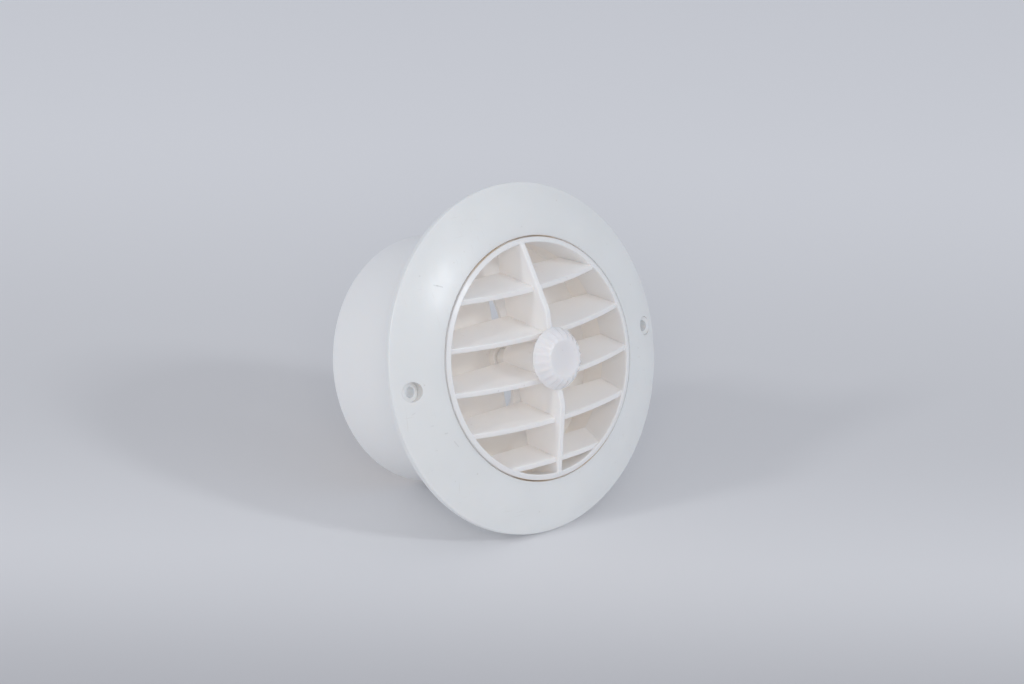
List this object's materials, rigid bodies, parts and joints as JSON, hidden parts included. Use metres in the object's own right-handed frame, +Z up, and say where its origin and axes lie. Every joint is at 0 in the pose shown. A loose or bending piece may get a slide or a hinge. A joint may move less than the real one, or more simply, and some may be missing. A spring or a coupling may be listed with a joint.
{
  "type": "round vent cover",
  "caption": "Round plastic air vent with a conical screw-on flange, a hose collar behind it, a turning louvre grille and a fluted knob that works a half-disc shutter.",
  "frame": {"origin": "centre of the flange's back, on the vent's axis, in the plane that meets the wall", "axes": "+Y along the axis into the wall, towards the collar's open end; the face looks along -Y; +X along the row of the two screw holes; +Z up"},
  "size_m": [0.14, 0.0841, 0.14],
  "materials": {
    "housing_plastic": "white injection-moulded plastic, satin gloss with faint scuffs",
    "grille_plastic": "white injection-moulded plastic, satin gloss",
    "knob_plastic": "milky polished plastic",
    "shutter_plastic": "white injection-moulded plastic, matt",
    "steel": "zinc-plated"
  },
  "bodies": {
    "housing": {"housing": "housing_plastic"},
    "grille": {"grille": "grille_plastic"},
    "knob": {"knob": "knob_plastic", "shutter": "shutter_plastic", "shutter_washer": "steel", "shutter_screw": "steel"}
  },
  "joints": [
    {"name": "grille_turn", "type": "hinge", "parent": "housing", "child": "grille", "pos_m": [0, 0, 0], "axis": [0, -1, 0], "continuous": true},
    {"name": "knob_turn", "type": "hinge", "parent": "housing", "child": "knob", "pos_m": [0, 0, 0], "axis": [0, -1, 0], "continuous": true}
  ]
}
